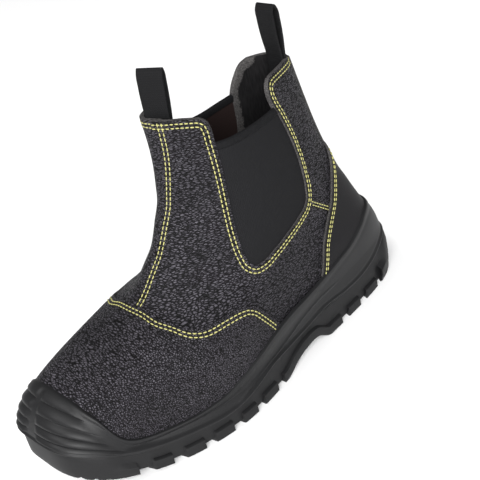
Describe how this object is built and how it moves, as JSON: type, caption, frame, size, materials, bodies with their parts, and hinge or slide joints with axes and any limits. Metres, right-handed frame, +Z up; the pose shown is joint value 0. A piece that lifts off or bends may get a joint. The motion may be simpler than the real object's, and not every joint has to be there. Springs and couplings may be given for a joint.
{
  "type": "safety boot",
  "caption": "Left slip-on leather safety boot with elastic side gores, webbing pull loops at front and back, and a moulded lugged sole with toe bumper and heel cup.",
  "frame": {"origin": "centre of the boot's box on the floor plane, under the sole", "axes": "-Y towards the toe, +X towards the outer side of the left foot, +Z up from the floor"},
  "size_m": [0.1129, 0.3046, 0.2248],
  "materials": {
    "leather": "pebbled, satin",
    "counter_leather": "smooth, satin",
    "elastic": "matt, finely ribbed",
    "webbing": "matt, woven",
    "sole_rubber": "satin, moulded",
    "tread_rubber": "matt, moulded",
    "footbed": "matt, felted"
  },
  "bodies": {
    "root": {"upper": "leather", "vamp": "leather", "heel_counter": "counter_leather", "backstay": "counter_leather", "gore_outer": "elastic", "gore_inner": "elastic", "pull_loop_front": "webbing", "pull_loop_back": "webbing", "insole": "footbed", "midsole": "sole_rubber", "outsole": "tread_rubber"}
  },
  "joints": []
}
